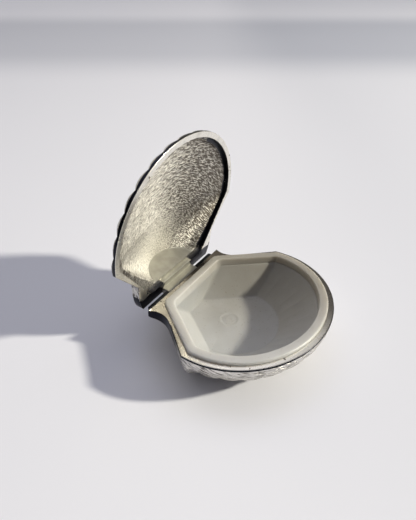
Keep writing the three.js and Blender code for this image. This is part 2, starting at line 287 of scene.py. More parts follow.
def begin_ring(name, points):
    """A circle of vertices, laid along an outline and left in edit mode."""
    nothing_selected()
    bpy.ops.mesh.primitive_circle_add(vertices=len(points), radius=HALF_WIDTH * MM)
    piece = bpy.context.active_object
    piece.name = name
    bpy.ops.object.mode_set(mode="EDIT")
    bpy.ops.mesh.select_mode(type="EDGE")
    mesh = bmesh.from_edit_mesh(piece.data)
    column = mesh.verts.layers.int.new("column")
    mesh.verts.ensure_lookup_table()
    for index, vertex in enumerate(mesh.verts):
        vertex[column] = index
        vertex.co = points[index]
    bpy.ops.mesh.select_all(action="SELECT")
    return piece


def extrude_ring(piece, points):
    """Extrudes the selected ring and lays the new one along the given points."""
    bpy.ops.mesh.extrude_edges_move()
    mesh = bmesh.from_edit_mesh(piece.data)
    column = mesh.verts.layers.int["column"]
    for vertex in mesh.verts:
        if vertex.select:
            vertex.co = points[vertex[column]]


def close_ring(piece, y, height, lid=False):
    """Extrudes the selected ring to one point on the middle line."""
    point = to_row(np.array([(0.0, y)]), height, lid)
    extrude_ring(piece, np.repeat(point, COLUMNS, axis=0))
    bpy.ops.mesh.merge(type="COLLAPSE")


def select_ring(piece, points, tolerance=1e-7):
    """Selects again the ring that was laid along these points."""
    bpy.ops.mesh.select_all(action="DESELECT")
    mesh = bmesh.from_edit_mesh(piece.data)
    column = mesh.verts.layers.int["column"]
    chosen = set()
    for vertex in mesh.verts:
        if (vertex.co - Vector(points[vertex[column] % COLUMNS])).length < tolerance:
            chosen.add(vertex)
    for edge in mesh.edges:
        edge.select_set(all(v in chosen for v in edge.verts))
    bmesh.update_edit_mesh(piece.data)


def round_edges(piece, rings, width, segments=3):
    """Bevels the edges that run along the given rings."""
    for ring in rings:
        select_ring(piece, ring)
        bpy.ops.mesh.bevel(offset=width * MM, segments=segments, affect="EDGES")


def face_outwards():
    bpy.ops.mesh.select_all(action="SELECT")
    bpy.ops.mesh.remove_doubles(threshold=1e-6)
    bpy.ops.mesh.normals_make_consistent(inside=False)


def finish_piece(piece, body, nodes, materials, lid=False, smooth=40):
    """Stores where each vertex lies in its valve, and gives the piece its body and finish; the
    parts it replaces are hidden.
    """
    if bpy.context.object.mode != "OBJECT":
        bpy.ops.object.mode_set(mode="OBJECT")
    bpy.ops.object.transform_apply(location=True, rotation=True, scale=True)
    bpy.ops.object.shade_smooth_by_angle(angle=math.radians(smooth))
    count = len(piece.data.vertices)
    points = np.empty(count * 3)
    piece.data.vertices.foreach_get("co", points)
    plan = piece.data.attributes.new("plan", "FLOAT_VECTOR", "POINT")
    plan.data.foreach_set("vector", to_valve(points.reshape(-1, 3), lid).ravel())
    for material in materials:
        piece.data.materials.append(material)
    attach(piece, body)
    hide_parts(*nodes)
    return piece


class Faces:
    """A valve's faces: their centres over its rim plane, in millimetres, and their normals."""

    def __init__(self, piece, lid=False):
        self.polygons = piece.data.polygons
        centres = np.array([face.center[:] for face in self.polygons])
        normals = np.array([face.normal[:] for face in self.polygons])
        normals = normals @ open_turn(-1)[0].T if lid else normals * (1, 1, -1)
        self.x, self.y, self.height = to_valve(centres, lid).T
        self.backward, self.upward = normals[:, 1], normals[:, 2]

    def paint(self, index, picked):
        """Gives a material, by its place in the valve's list, to the picked faces."""
        for face in np.flatnonzero(picked):
            self.polygons[int(face)].material_index = index

    def in_band(self, band):
        """Upright faces no higher than the band under the rim, outside or inside."""
        return (np.abs(self.upward) < 0.25) & (self.height < band.max() + 0.1)

    def on_rim(self):
        """Faces that look towards the other valve."""
        return self.upward < -0.3

    def near(self, outline_points, distance):
        """Faces that lie close to an outline, as seen from above."""
        spots = np.column_stack([self.x, self.y])
        return np.array([np.hypot(*(outline_points - spot).T).min() for spot in spots]) < distance


# -------------------------------------------------------------------------- materials


class Socket:
    """An output of a material's node; arithmetic on it adds Math nodes."""

    def __init__(self, look, output):
        self.look, self.output = look, output

    def __add__(self, other):
        return self.look.math("ADD", self, other)

    def __radd__(self, other):
        return self.look.math("ADD", other, self)

    def __sub__(self, other):
        return self.look.math("SUBTRACT", self, other)

    def __rsub__(self, other):
        return self.look.math("SUBTRACT", other, self)

    def __mul__(self, other):
        return self.look.math("MULTIPLY", self, other)

    def __rmul__(self, other):
        return self.look.math("MULTIPLY", other, self)


class Look:
    """The node tree of one material, or of the world."""

    def __init__(self, owner):
        owner.use_nodes = True
        self.tree = owner.node_tree
        self.tree.nodes.clear()

    def node(self, kind, settings=None, sockets=None, output=0):
        """Adds a node, gives it its settings and then its sockets' values or links."""
        made = self.tree.nodes.new(kind)
        for key, value in (settings or {}).items():
            setattr(made, key, value)
        for key, value in (sockets or {}).items():
            target = self.find(made.inputs, key)
            if isinstance(value, Socket):
                self.tree.links.new(value.output, target)
            elif isinstance(value, tuple) and len(value) == 3 and target.type == "RGBA":
                target.default_value = (*value, 1)
            else:
                target.default_value = value
        return Socket(self, self.find(made.outputs, output)) if made.outputs else None

    @staticmethod
    def find(sockets, key):
        if isinstance(key, int):
            return sockets[key]
        return next((s for s in sockets if s.identifier == key), None) or sockets[key]

    def math(self, operation, *values, clamp=False):
        settings = {"operation": operation, "use_clamp": clamp}
        return self.node("ShaderNodeMath", settings, dict(enumerate(values)))

    def clamped(self, value):
        return self.math("MULTIPLY", value, 1.0, clamp=True)

    def step(self, value, low, high):
        """0 below low, 1 above high and smooth between."""
        settings = {"interpolation_type": "SMOOTHSTEP"}
        sockets = {"Value": value, "From Min": low, "From Max": high}
        return self.node("ShaderNodeMapRange", settings, sockets)

    def mix(self, factor, first, second):
        sockets = {"Factor_Float": factor, "A_Color": first, "B_Color": second}
        return self.node("ShaderNodeMix", {"data_type": "RGBA"}, sockets, "Result_Color")

    def vector(self, x, y, z=0.0):
        return self.node("ShaderNodeCombineXYZ", None, {0: x, 1: y, 2: z})

    def noise(self, vector, scale, detail=2.0, roughness=0.5):
        sockets = {"Vector": vector, "Scale": scale, "Detail": detail, "Roughness": roughness}
        return self.node("ShaderNodeTexNoise", None, sockets, 0)

    def part(self, vector, index):
        """The x, y or z of a vector, for an index of 0, 1 or 2."""
        return self.node("ShaderNodeSeparateXYZ", None, {0: vector}, index)

    def plan(self):
        """x, y and height of the surface in its valve, in millimetres, as one vector."""
        return self.node("ShaderNodeAttribute", {"attribute_name": "plan"}, None, "Vector")

    def polar(self, vector):
        """Distance from the fan point and angle about it."""
        x, forward = self.part(vector, 0), FAN_Y - self.part(vector, 1)
        radius = self.math("SQRT", x * x + forward * forward)
        return radius, self.math("ARCTAN2", x, forward)

    def bump(self, height, distance, strength):
        """Bumps of a height of 0 to 1 over a distance in millimetres."""
        sockets = {"Height": height, "Distance": distance * MM, "Strength": strength}
        return self.node("ShaderNodeBump", None, sockets)

    def surface(self, **sockets):
        """The principled surface; keys are socket names with underscores for spaces."""
        named = {key.replace("_", " "): value for key, value in sockets.items()}
        shader = self.node("ShaderNodeBsdfPrincipled", None, named)
        self.node("ShaderNodeOutputMaterial", None, {"Surface": shader})


def new_material(name):
    material = bpy.data.materials.new(name)
    return material, Look(material)


def cast_metal(colours):
    """Polished cast metal of the ribbed outside, with growth lines and matt short cuts."""
    material, look = new_material("cast_metal")
    vector = look.plan()
    radius, angle = look.polar(vector)
    along = angle * 26.0
    reach = radius - look.part(vector, 2) * 0.9
    lines = look.noise(look.vector(reach * 1.3, along * 0.2), 1.0, 3.0, 0.62)
    dashes = look.noise(look.vector(reach * 1.9, along * 0.45, 7.0), 1.0, 2.0, 0.5)
    cuts = look.step(dashes, 0.54, 0.61)
    cloud = look.noise(vector, 0.16, 3.0, 0.55)
    tarnish_and_shade = look.clamped(cuts * 0.85 + look.step(lines, 0.54, 0.66) * 0.6
                           + look.step(cloud, 0.5, 0.7) * 0.15)
    colour = look.mix(tarnish_and_shade, tuple(colours.metal), tuple(colours.tarnish_and_shade))
    roughness = 0.22 + cloud * 0.12 + cuts * 0.2
    normal = look.bump(lines - cuts * 0.6, 0.35, 0.8)
    look.surface(Base_Color=colour, Metallic=1.0, Roughness=roughness, Normal=normal)
    return material


def rim_metal(colours, shaded=False):
    """The flat rims: smooth polish with faint smears, scratches and small pits.

    A shaded rim carries painted shade: it is darker beside the hinge and most of all on its right."""
    material, look = new_material("shaded_rim_metal" if shaded else "rim_metal")
    vector = look.plan()
    radius, angle = look.polar(vector)
    scratches = look.noise(look.vector(radius * 1.3, angle * 60.0), 1.0, 2.0, 0.6)
    pits = look.step(look.noise(vector, 0.7, 0.0), 0.775, 0.79)
    smears = look.noise(vector, 0.22, 2.0)
    wear_and_shade = pits * 0.8 + look.step(smears, 0.45, 0.75) * (0.08 if shaded else 0.25)
    # painted shade: the rim darkened on its right and beside the hinge
    if shaded:
        shade_on_right = look.step(look.part(vector, 0), -8.0, 14.0)
        shade_by_hinge = look.step(look.part(vector, 1), -24.0, -16.0)
        wear_and_shade += shade_on_right * 0.85 + shade_by_hinge * 0.55
    wear_and_shade = look.clamped(wear_and_shade)
    colour = look.mix(wear_and_shade, tuple(colours.rim), tuple(colours.tarnish_and_shade))
    roughness = 0.2 + smears * 0.16 + pits * 0.3
    normal = look.bump(scratches * 0.3 - pits, 0.05, 0.6)
    look.surface(Base_Color=colour, Metallic=1.0, Roughness=roughness, Normal=normal)
    return material


def edge_metal(colours, fading=False):
    """Metal painted black as shade and dark reflection: upright bands under the rims, the step
    inside the lid and the base's knuckles.

    A fading band turns bright towards the front, but for a painted dark line under the rim."""
    material, look = new_material("fading_edge_metal" if fading else "edge_metal")
    vector = look.plan()
    radius, angle = look.polar(vector)
    cloud = look.noise(vector, 0.5, 3.0)
    rubbed = look.step(look.noise(look.vector(radius * 0.8, angle * 20.0), 1.0, 2.0), 0.62, 0.75)
    colour = look.mix(rubbed * 0.15, tuple(colours.shade_black), tuple(colours.tarnish_and_shade))
    if fading:
        # the painted black fades to bright metal towards the front, leaving a painted dark line
        # under the rim
        in_front = look.step(look.part(vector, 1) + cloud * 4.0, -12.0, -19.0)
        under_line = look.step(look.part(vector, 2), 0.5, 0.65)
        bright = look.clamped(in_front * under_line)
        colour = look.mix(bright, colour, tuple(colours.metal))
    normal = look.bump(cloud, 0.06, 0.5)
    look.surface(Base_Color=colour, Metallic=1.0, Roughness=0.24 + cloud * 0.16, Normal=normal)
    return material


def hollow_metal(colours):
    """Inside of the lid: bright cast metal covered in short fine strokes round the fan, with
    painted shade on its right, far from the hinge and near the foot of the dome.
    """
    material, look = new_material("hollow_metal")
    vector = look.plan()
    radius, angle = look.polar(vector)
    along = angle * 30.0
    strokes = look.noise(look.vector(radius * 2.4, along * 0.42), 1.0, 2.0, 0.6)
    fine = look.noise(look.vector(radius * 3.6, along * 1.0, 3.0), 1.0, 1.0)
    grain = look.noise(vector, 2.6, 2.0)
    # painted shade: darker towards the right and far from the hinge
    shade_on_right = look.step(look.part(vector, 0) - radius * 0.12, -18.0, 22.0)
    painted_shade = look.clamped(shade_on_right * 0.8 + look.step(radius, 12.0, 32.0) * 0.4)
    dark = look.step(strokes + (fine - 0.5) * 0.6 + painted_shade * 0.07, 0.505, 0.555)
    spots = look.step(grain, 0.6, 0.7) * look.step(look.noise(vector, 0.12, 2.0), 0.45, 0.65)
    # painted shade: darker low down, by the step round the hollow
    low = 1 - look.step(look.part(vector, 2), 1.5, 3.2)
    # the strokes and spots of the metal, together with the painted shade
    shade = look.clamped(dark * (0.38 + painted_shade * 0.52) + spots * 0.3 + painted_shade * 0.34 + low * 0.3)
    colour = look.mix(shade, tuple(colours.hollow), tuple(colours.tarnish_and_shade))
    roughness = 0.5 - painted_shade * 0.06 + dark * 0.08
    normal = look.bump(strokes + fine * 0.4 + grain * 0.15, 0.6, 1.0)
    look.surface(Base_Color=colour, Metallic=1.0, Roughness=roughness, Normal=normal)
    return material


def facet_metal(colours):
    """The smooth steep wall inside the lid, beside the hinge: the hollow's metal coloured darker
    as painted shade.
    """
    material, look = new_material("facet_metal")
    vector = look.plan()
    cloud = look.noise(vector, 0.25, 3.0)
    colour = look.mix(look.step(cloud, 0.35, 0.7) * 0.2, tuple(colours.facet),
                      tuple(colours.tarnish_and_shade))
    normal = look.bump(look.noise(vector, 1.4, 2.0), 0.05, 0.5)
    look.surface(Base_Color=colour, Metallic=1.0, Roughness=0.5 + cloud * 0.08, Normal=normal)
    return material


def milky_plastic(colours):
    """Milky moulded plastic of the liner, with painted shade darkening it towards the right."""
    material, look = new_material("milky_plastic")
    vector = look.plan()
    radius, angle = look.polar(vector)
    cloud = look.noise(vector, 0.14, 3.0, 0.5)
    flow = look.noise(look.vector(radius * 0.1, angle * 6.0), 1.0, 2.0)
    specks = look.step(look.noise(vector, 1.6, 0.0), 0.74, 0.78)
    # painted shade: the plastic darkens towards the right
    right_side_shade = look.step(look.part(vector, 0), -22.0, 28.0)
    cloud_and_shade = look.clamped(cloud * 0.3 + flow * 0.1 + specks * 0.25 + right_side_shade * 0.75)
    colour = look.mix(cloud_and_shade, tuple(colours.liner), tuple(colours.liner_shade))
    roughness = 0.3 + cloud * 0.15
    normal = look.bump(look.noise(vector, 3.5, 2.0) * 0.4 + flow * 0.6, 0.05, 0.5)
    look.surface(
        Base_Color=colour, Roughness=roughness, Normal=normal, Subsurface_Weight=0.75,
        Subsurface_Radius=(6.0, 5.5, 5.0), Subsurface_Scale=MM, IOR=1.49,
    )
    return material


def pin_metal(colours):
    """Drawn wire of the hinge pin, turned along its length."""
    material, look = new_material("pin_metal")
    x, y, height = (look.part(look.plan(), index) for index in range(3))
    rings = look.noise(look.vector(x * 6.0, y * 0.4, height * 0.4), 1.0, 2.0)
    colour = look.mix(look.step(rings, 0.4, 0.7) * 0.6, tuple(colours.metal),
                      tuple(colours.tarnish_and_shade))
    normal = look.bump(rings, 0.03, 0.6)
    look.surface(Base_Color=colour, Metallic=1.0, Roughness=0.3 + rings * 0.15, Normal=normal)
    return material


# ------------------------------------------------------------------ sizes and colours


def colour_property(name, description, default):
    return bpy.props.FloatVectorProperty(
        name=name, description=description, default=default, subtype="COLOR",
        min=0.0, max=1.0, size=3,
    )


def length_property(name, description, millimetres):
    return bpy.props.FloatProperty(
        name=name, description=description, default=millimetres * MM, min=0.0,
        subtype="DISTANCE", unit="LENGTH", precision=5,
    )


class ShellBoxSizes(bpy.types.PropertyGroup):
    """Details that can be changed without leaving the solid frame."""

    ridge_depth: length_property("Growth ridges", "Depth of the ridges across the ribs", 0.05)
    rim_round: length_property("Rim rounding", "Rounding of the edges of the rims", 0.12)
    lip_round: length_property("Lip rounding", "Rounding of the liner's lip", 0.35)
    flute_depth: length_property("Flutes", "Depth of the flutes in the liner's wall", 0.3)
    pin_round: length_property("Pin rounding", "Rounding of the pin's ends", 0.14)
    floor_side: length_property("Floor", "Side of the studio floor", 12000.0)


class ShellBoxColours(bpy.types.PropertyGroup):
    """Colours of the finishes and of the studio."""

    metal: colour_property("Metal", "Cast metal of the outside", (0.75, 0.73, 0.70))
    rim: colour_property("Rim", "Polished rims and bands", (0.88, 0.85, 0.78))
    hollow: colour_property("Hollow", "Inside of the lid", (0.93, 0.905, 0.84))
    # painted shade: the lid's metal coloured darker for its hinge wall, the strip behind its
    # knuckle and the knuckle itself
    facet: colour_property("Facet", "Smooth wall inside the lid", (0.42, 0.412, 0.372))
    # painted shade: the black that stands for shade and dark reflection on bands, steps and the
    # base's knuckles
    shade_black: colour_property("Shade_black", "Dark bands under the rims", (0.022, 0.023, 0.030))
    # tarnish, and the painted shade where the lid's hollow and the shaded rim are darkened
    tarnish_and_shade: colour_property("Tarnish", "Dull hollows of the metal", (0.13, 0.115, 0.10))
    liner: colour_property("Liner", "Milky plastic", (0.575, 0.575, 0.58))
    # cloudy parts of the plastic, and painted shade on the liner's right
    liner_shade: colour_property(
        "Liner shade", "Cloudy parts of the plastic", (0.32, 0.298, 0.262))
    floor: colour_property("Floor", "Studio floor", (0.83, 0.835, 0.91))
    fill: colour_property("Fill light", "Soft light from above", (0.84, 0.86, 1.0))
    wall: colour_property("Wall light", "Warm light from beyond the box", (1.0, 0.94, 0.80))


def sizes():
    return bpy.context.scene.shell_box_sizes


def colours():
    return bpy.context.scene.shell_box_colours


# --------------------------------------------------------------------------- the valves


OUTSIDE_PARTS = [0.998, 0.994, 0.988, 0.98, *np.linspace(0.97, 0.03, 78)]
BOWL_PARTS = [1, 0.97, 0.94, 0.9, 0.86, 0.8, 0.75, 0.68, 0.6, 0.5, 0.4, 0.2]
DOME_PARTS = [*np.linspace(0.99, 0.8, 20), *np.linspace(0.77, 0.05, 25)]
BOWL_INSET = 0.9
BOWL_TOP = 2.9
BOWL_FLOOR = BASE_DEPTH - BASE_WALL
LID_TOP = LID_HEIGHT - 0.32
DOME_FOOT = 1.5
DOME_INSET = 1.6
DOME_BACK = (2.5, 2.2)
FACET_FOOT = 3.9
FACET_STEEPNESS = 6.3
LID_EDGE_RIBS = 0.45

# A valve's materials, by their place in its list
RIM_LOOK, EDGE_LOOK, HOLLOW_LOOK, FACET_LOOK = range(1, 5)
# The base's flanks are painted black as shade as far forward as this y, and a painted dark line
# under its rim reaches down to this height, which the ring of edges below it bounds
BLACK_FLANK = -20.5
BLACK_LINE, BLACK_RING = 0.55, 0.6
# The y where the lid's hollow starts, and the x from which the step round it is painted black as
# shade
HOLLOW_BACK = -3.6
BLACK_STEP = 15.0


def outside_of(piece, form, limit, lid):
    """Extrudes the ribbed outside from the top of the band in to the fan point."""
    depth = sizes().ridge_depth / MM
    rim = LID_RIM if lid else RIM
    for part in OUTSIDE_PARTS:
        plan = shrunk(rim, part, FAN_Y)
        height = outside_height(form, plan, part, depth, limit)
        extrude_ring(piece, to_row(plan, height, lid))
    pole = np.array([(0.0, FAN_Y)])
    close_ring(piece, FAN_Y, np.minimum(swell(form, pole, form["arc_edge"]), limit), lid)


def flat_rim(piece, outer, inner, lid):
    """Extrudes the flat rim, with a ring beside each edge that keeps its shading flat."""
    for part in (0.13, 0.87, 1):
        extrude_ring(piece, to_row(outer + (inner - outer) * part, FLAT, lid))


class SHELLBOX_OT_base_valve(bpy.types.Operator):
    """Models the ribbed lower valve with its rim and bowl"""

    bl_idname = "shell_box.base_valve"
    bl_label = "Base valve"

    def execute(self, context):
        mouth_plan = inner_outline(0)
        band = edge_band(BASE_FORM)
        rim, foot = to_row(RIM, FLAT), to_row(RIM, band)
        piece = begin_ring("base_valve", rim)
        extrude_ring(piece, to_row(RIM, np.minimum(band * 0.9, BLACK_RING)))
        extrude_ring(piece, foot)
        outside_of(piece, BASE_FORM, BASE_DEPTH, False)
        select_ring(piece, rim)
        flat_rim(piece, RIM, mouth_plan, False)
        for part in BOWL_PARTS:
            plan = shrunk(mouth_plan, part, BOWL_Y)
            height = swell(BASE_FORM, plan, band, BOWL_INSET, BASE_WALL)
            extrude_ring(piece, to_row(plan, np.clip(height, BOWL_TOP, BOWL_FLOOR)))
        close_ring(piece, BOWL_Y, BOWL_FLOOR)
        round_edges(piece, [to_row(mouth_plan, FLAT), foot], sizes().rim_round / MM)
        round_edges(piece, [rim], 3 * sizes().rim_round / MM)
        face_outwards()
        look = colours()
        materials = [cast_metal(look), rim_metal(look, shaded=True), edge_metal(look, fading=True)]
        finish_piece(piece, "base", ["base_shell"], materials)
        paint_base(Faces(piece), band)
        return {"FINISHED"}


def paint_base(faces, band):
    """A polished rim over flanks painted black as shade, with a painted dark line under the rim
    and a painted dark hinge edge between the knuckles.
    """
    faces.paint(RIM_LOOK, faces.on_rim())
    # painted shade: black flanks, a dark line and rounded outer edge under the rim, and a dark
    # strip between the knuckles
    dark = (faces.y > BLACK_FLANK) | (faces.height < BLACK_LINE)
    rounding = (faces.upward > -0.9) & (faces.height < 0.5) & (faces.height > 0.03)
    between_knuckles = (faces.y > -0.4) & (np.abs(faces.x) < 9.5)
    faces.paint(EDGE_LOOK, faces.in_band(band) & dark | rounding | between_knuckles)


class SHELLBOX_OT_lid_valve(bpy.types.Operator):
    """Models the upper valve, smooth and hollow inside, standing open"""

    bl_idname = "shell_box.lid_valve"
    bl_label = "Lid valve"

    def execute(self, context):
        mouth_plan = inner_outline(0)
        band = edge_band(LID_FORM)
        rim = to_row(LID_RIM, FLAT, True)
        foot = to_row(LID_RIM, band + LID_EDGE_RIBS * rib_profile(), True)
        piece = begin_ring("lid_valve", rim)
        extrude_ring(piece, foot)
        outside_of(piece, LID_FORM, LID_TOP, True)
        select_ring(piece, rim)
        flat_rim(piece, LID_RIM, mouth_plan, True)
        extrude_ring(piece, to_row(mouth_plan, FLAT + RECESS_DEPTH, True))
        dome_foot = inner_outline(DOME_FOOT)
        extrude_ring(piece, to_row(dome_foot, FLAT + RECESS_DEPTH, True))
        for part in DOME_PARTS:
            plan = shrunk(dome_foot, part, BOWL_Y)
            extrude_ring(piece, to_row(plan, dome_height(plan), True))
        close_ring(piece, BOWL_Y, dome_height(np.array([(0.0, BOWL_Y)])), True)
        mouth = to_row(mouth_plan, FLAT, True)
        round_edges(piece, [rim, mouth, foot], sizes().rim_round / MM)
        face_outwards()
        look = colours()
        materials = [cast_metal(look), rim_metal(look), edge_metal(look), hollow_metal(look),
                     facet_metal(look)]
        finish_piece(piece, "lid", ["lid_shell"], materials, lid=True)
        paint_lid(Faces(piece, lid=True), band)
        return {"FINISHED"}


def paint_lid(faces, band):
    """A polished rim with sides painted black as shade, round a bright hollow with a hinge wall
    darkened as painted shade.
    """
    behind = np.abs(faces.x) < LID_KNUCKLE_HALF
    facet = (faces.height > RECESS_DEPTH + 0.05) & (faces.backward < -0.7)
    facet &= (faces.y > -6.5) & (faces.y < -3.7)
    hollow = (faces.height > RECESS_DEPTH - 0.01) & (faces.upward < -0.2)
    sides = faces.in_band(band) & ~facet
    sides &= (faces.height < RECESS_DEPTH) | faces.near(LID_RIM, 0.6)
    # painted shade: the step round the hollow is black on its right, and the rim's back beside the
    # knuckle is black
    step = (np.abs(faces.height - RECESS_DEPTH) < 0.08) & (faces.x > BLACK_STEP)
    back_rim = faces.on_rim() & (faces.y > -2.6) & ~behind & (faces.height < 0.5)
    # painted shade: the strip behind the knuckle takes the hinge wall's darker colour
    middle = (faces.y > -4.2) & (faces.y < 2.0) & behind & (faces.height < RECESS_DEPTH + 0.1)
    faces.paint(RIM_LOOK, faces.on_rim())
    faces.paint(HOLLOW_LOOK, hollow & (faces.y < HOLLOW_BACK))
    faces.paint(FACET_LOOK, facet)
    faces.paint(EDGE_LOOK, sides | step & (faces.y < HOLLOW_BACK) | back_rim)
    faces.paint(FACET_LOOK, middle)


def dome_height(plan):
    """Inside of the lid: a smooth dome cut off by a steep flat wall beside the hinge."""
    dome = swell(LID_FORM, plan, RECESS_DEPTH, DOME_INSET, back=DOME_BACK)
    dome = dome * (LID_HEIGHT - LID_WALL) / LID_HEIGHT
    wall = RECESS_DEPTH + (-plan[:, 1] - FACET_FOOT) * FACET_STEEPNESS
    return np.maximum(RECESS_DEPTH, np.minimum(dome, wall))


# --------------------------------------------------------------------------- the liner


LIP_RISE = 1.2
LEDGE_DEPTH = 1.8
LEDGE_TILT = 0.1
LINER_DEPTH = 12.2
LINER_WALL = 1.0
# How far inside the rim the lip and the ledge start and end
LIP_OUTER, LIP_INNER = 0.06, 3.2
LEDGE_OUTER, LEDGE_INNER = 3.4, 4.0
# The moulded mark on the floor: the radius and the lift of each ring about its middle
MARK_Y = -19.5
MARK_RINGS = [(4.4, 0.0), (3.9, 0.1), (3.6, 0.12), (3.3, 0.1), (2.9, -0.05), (2.6, -0.05),
              (1.4, 0.03), (1.2, 0.06), (1.0, 0.03)]


class SHELLBOX_OT_liner(bpy.types.Operator):
    """Models the moulded liner with its lip, ledge, fluted wall and floor"""

    bl_idname = "shell_box.liner"
    bl_label = "Liner"

    def execute(self, context):
        lip_outer = inner_outline(LIP_OUTER)
        lip_edge = to_row(inner_outline(LIP_INNER), FLAT - LIP_RISE)
        outer_edge = to_row(lip_outer, FLAT - LIP_RISE)
        ledge_out = inner_outline(LEDGE_OUTER)
        ledge_share = np.clip((FROM_HINGE - BACK_STEPS - EAR_STEPS / 2) / EAR_STEPS, 0.15, 1)
        ledge_in = ledge_out + (inner_outline(LEDGE_INNER) - ledge_out) * ledge_share[:, None]
        ledge_ring = to_row(ledge_in, FLAT + LEDGE_DEPTH + LEDGE_TILT)
        floor_ring = to_row(floor_outline(0), FLAT + LINER_DEPTH)
        piece = begin_ring("liner_tray", outer_edge)
        extrude_ring(piece, lip_edge)
        extrude_ring(piece, to_row(ledge_out, FLAT + LEDGE_DEPTH - LEDGE_TILT))
        extrude_ring(piece, ledge_ring)
        fluted_wall(piece, ledge_in)
        extrude_ring(piece, floor_ring)
        moulded_mark(piece)
        select_ring(piece, outer_edge)
        underside(piece, lip_outer)
        lip_round = sizes().lip_round / MM
        round_edges(piece, [lip_edge], lip_round, 4)
        round_edges(piece, [outer_edge], 1.8 * lip_round, 5)
        round_edges(piece, [ledge_ring], 0.15, 2)
        round_edges(piece, [floor_ring], 0.5, 3)
        face_outwards()
        plastic = [milky_plastic(colours())]
        finish_piece(piece, "base", ["liner"], plastic, smooth=35)
        return {"FINISHED"}


def fluted_wall(piece, ledge_in):
    """Extrudes the tapered wall, fluted in line with the base's ribs, down to the floor."""
    floor, top = floor_outline(0), LEDGE_DEPTH + LEDGE_TILT
    for t in np.linspace(0.1, 0.9, 9):
        flutes = sizes().flute_depth / MM * np.sin(np.pi * t) * rib_profile()
        height = top + (LINER_DEPTH - top) * t + flutes
        extrude_ring(piece, to_row(ledge_in + (floor - ledge_in) * t, height))


def moulded_mark(piece):
    """Closes the floor with low rings about the point where it was moulded."""
    middle, floor = np.array((0.0, MARK_Y)), floor_outline(0)
    turn = np.arctan2(floor[:, 0], MARK_Y - floor[:, 1])
    spokes = np.column_stack([np.sin(turn), -np.cos(turn)])
    for radius, lift in MARK_RINGS:
        extrude_ring(piece, to_row(middle + spokes * radius, FLAT + LINER_DEPTH - lift))
    close_ring(piece, MARK_Y, LINER_DEPTH)


def underside(piece, lip_outer):
    """Extrudes the lip's side and the plain underside from the selected outer edge."""
    extrude_ring(piece, to_row(lip_outer, FLAT + LEDGE_DEPTH))
    wall = inner_outline(LEDGE_INNER - LINER_WALL)
    extrude_ring(piece, to_row(wall, FLAT + LEDGE_DEPTH + 0.6))
    bottom = floor_outline(0.7 * LINER_WALL)
    extrude_ring(piece, to_row(bottom, FLAT + LINER_DEPTH + LINER_WALL))
    close_ring(piece, BOWL_Y, LINER_DEPTH + LINER_WALL)


# --------------------------------------------------------------------------- the hinge


KNUCKLE_SIDES = 48
KNUCKLE_RADIUS = 1.2
KNUCKLE_HOLE = 0.78
# The base's arms end this far before the hinge edge, and the lid's this far over the axis
BASE_ARM_FRONT = 0.6
LID_ARM_TOP = 4.4


class SHELLBOX_OT_hinge(bpy.types.Operator):
    """Models the knuckles of both valves and the pin that joins them"""

    bl_idname = "shell_box.hinge"
    bl_label = "Hinge"

    def execute(self, context):
        look = colours()
        # painted shade: the base's knuckles are painted black, the lid's knuckle takes the hinge
        # wall's darker colour
        metal, dark = facet_metal(look), edge_metal(look)
        for name, low, high in (
            ("base_knuckle_left", -BASE_KNUCKLE_END, -BASE_KNUCKLE_START),
            ("base_knuckle_right", BASE_KNUCKLE_START, BASE_KNUCKLE_END),
        ):
            piece = knuckle(name, low, high, base_arm)
            finish_piece(piece, "base", ["base_shell"], [dark])
        piece = knuckle("lid_knuckle", -LID_KNUCKLE_HALF, LID_KNUCKLE_HALF, lid_arm)
        finish_piece(piece, "lid", ["lid_shell"], [metal], lid=True)
        pin = round_bar("pin", HINGE_AXIS, PIN_RADIUS, PIN_HIGH.x - PIN_LOW.x, 32)
        bpy.ops.object.mode_set(mode="EDIT")
        select_ends(pin)
        bpy.ops.mesh.bevel(offset=sizes().pin_round, segments=3, affect="EDGES")
        finish_piece(pin, "base", ["hinge_pin"], [pin_metal(look)])
        return {"FINISHED"}


def round_bar(name, centre, radius, length, sides):
    """A round bar that lies along x."""
    nothing_selected()
    bpy.ops.mesh.primitive_cylinder_add(
        vertices=sides, radius=radius, depth=length, location=centre,
        rotation=(0, math.pi / 2, 0))
    piece = bpy.context.active_object
    piece.name = name
    return piece


def select_ends(piece):
    """Selects the two end faces of a round bar in edit mode."""
    bpy.ops.mesh.select_mode(type="FACE")
    bpy.ops.mesh.select_all(action="DESELECT")
    mesh = bmesh.from_edit_mesh(piece.data)
    for face in mesh.faces:
        face.select_set(len(face.verts) > 4)
    bmesh.update_edit_mesh(piece.data)


def knuckle(name, low, high, arm):
    """A round knuckle from low to high along the hinge, drilled for the pin, with its arm."""
    centre = ((low + high) / 2 * MM, HINGE_AXIS.y, HINGE_AXIS.z)
    radius = KNUCKLE_RADIUS * MM
    piece = round_bar(name, centre, radius, (high - low) * MM, KNUCKLE_SIDES)
    bpy.ops.object.transform_apply(location=True, rotation=True, scale=True)
    bpy.ops.object.mode_set(mode="EDIT")
    select_ends(piece)
    bpy.ops.mesh.inset(thickness=radius - KNUCKLE_HOLE * MM)
    bpy.ops.mesh.bridge_edge_loops()
    for vertex in bmesh.from_edit_mesh(piece.data).verts:
        side = vertex.co - HINGE_AXIS
        if math.hypot(side.y, side.z) > radius * 0.99:
            arm(vertex, side)
    bpy.ops.mesh.select_all(action="SELECT")
    if arm is lid_arm:
        bpy.ops.transform.rotate(
            value=OPEN_ANGLE, orient_axis="X", center_override=HINGE_AXIS)
    bpy.ops.mesh.normals_make_consistent(inside=False)
    return piece


def base_arm(vertex, side):
    """Draws the front half of a base knuckle forward to the base's edge."""
    if side.y < -1e-6:
        vertex.co.y = EDGE_Y - BASE_ARM_FRONT * MM


